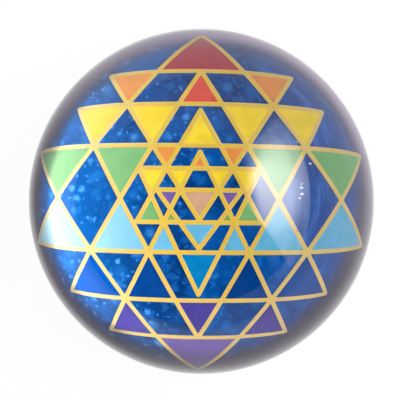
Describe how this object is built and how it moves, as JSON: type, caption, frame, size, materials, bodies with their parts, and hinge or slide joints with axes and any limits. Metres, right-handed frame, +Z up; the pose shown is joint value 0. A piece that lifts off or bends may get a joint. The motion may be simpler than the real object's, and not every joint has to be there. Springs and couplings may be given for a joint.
{
  "type": "shri yantra paperweight",
  "caption": "Clear glass dome paperweight, flat underneath, that magnifies a printed shri yantra of interlocking triangles cemented to its base.",
  "frame": {"origin": "centre of the felt pad's underside, on the axis of the dome", "axes": "+Z up along the axis of the dome, +Y towards the top of the figure, +X to the right of a reader who looks down on it"},
  "size_m": [0.08, 0.08, 0.0392],
  "materials": {
    "clear_glass": "polished clear glass",
    "clear_cement": "clear cured cement",
    "gold_ink": "gold printed line",
    "red_ink": "red ink",
    "orange_ink": "orange ink",
    "yellow_ink": "yellow ink",
    "green_ink": "green ink",
    "light_blue_ink": "light blue ink",
    "mid_blue_ink": "mid blue ink",
    "deep_blue_ink": "deep blue ink",
    "cyan_ink": "cyan blue ink",
    "violet_ink": "violet ink",
    "purple_ink": "purple ink",
    "peach_ink": "peach ink",
    "blue_print": "coated paper printed with a mottled blue ground",
    "adhesive_film": "thin adhesive film",
    "felt": "dark felt"
  },
  "bodies": {
    "root": {"glass_dome": "clear_glass", "clear_cement": "clear_cement", "gold_lines": "gold_ink", "cyan_field_ring_3_middle": "cyan_ink", "deep_blue_field_ring_2_left": "deep_blue_ink", "deep_blue_field_ring_2_right": "deep_blue_ink", "green_field_ring_1_left": "green_ink", "green_field_ring_1_right": "green_ink", "green_field_ring_2_left": "green_ink", "green_field_ring_2_right": "green_ink", "green_field_ring_3_left": "green_ink", "green_field_ring_3_right": "green_ink", "green_field_ring_4_left": "green_ink", "green_field_ring_4_right": "green_ink", "light_blue_field_ring_1_left": "light_blue_ink", "light_blue_field_ring_1_right": "light_blue_ink", "light_blue_field_ring_2_left": "light_blue_ink", "light_blue_field_ring_2_right": "light_blue_ink", "light_blue_field_ring_3_left": "light_blue_ink", "light_blue_field_ring_3_right": "light_blue_ink", "light_blue_field_ring_4_middle": "light_blue_ink", "mid_blue_field_ring_1_left": "mid_blue_ink", "mid_blue_field_ring_1_right": "mid_blue_ink", "orange_field_ring_1_left": "orange_ink", "orange_field_ring_1_right": "orange_ink", "orange_field_ring_3_left": "orange_ink", "orange_field_ring_3_right": "orange_ink", "orange_field_ring_4_middle": "orange_ink", "peach_field_ring_5_middle": "peach_ink", "purple_field_ring_1_middle": "purple_ink", "purple_field_ring_4_left": "purple_ink", "purple_field_ring_4_right": "purple_ink", "red_field_ring_1_middle": "red_ink", "red_field_ring_2_middle": "red_ink", "violet_field_ring_1_left": "violet_ink", "violet_field_ring_1_right": "violet_ink", "violet_field_ring_2_middle": "violet_ink", "yellow_field_ring_1_left": "yellow_ink", "yellow_field_ring_1_right": "yellow_ink", "yellow_field_ring_2_left": "yellow_ink", "yellow_field_ring_2_right": "yellow_ink", "yellow_field_ring_3_left": "yellow_ink", "yellow_field_ring_3_middle": "yellow_ink", "yellow_field_ring_3_right": "yellow_ink", "yellow_field_ring_4_left": "yellow_ink", "yellow_field_ring_4_right": "yellow_ink", "print_sheet": "blue_print", "pad_film": "adhesive_film", "felt_pad": "felt"}
  },
  "joints": []
}
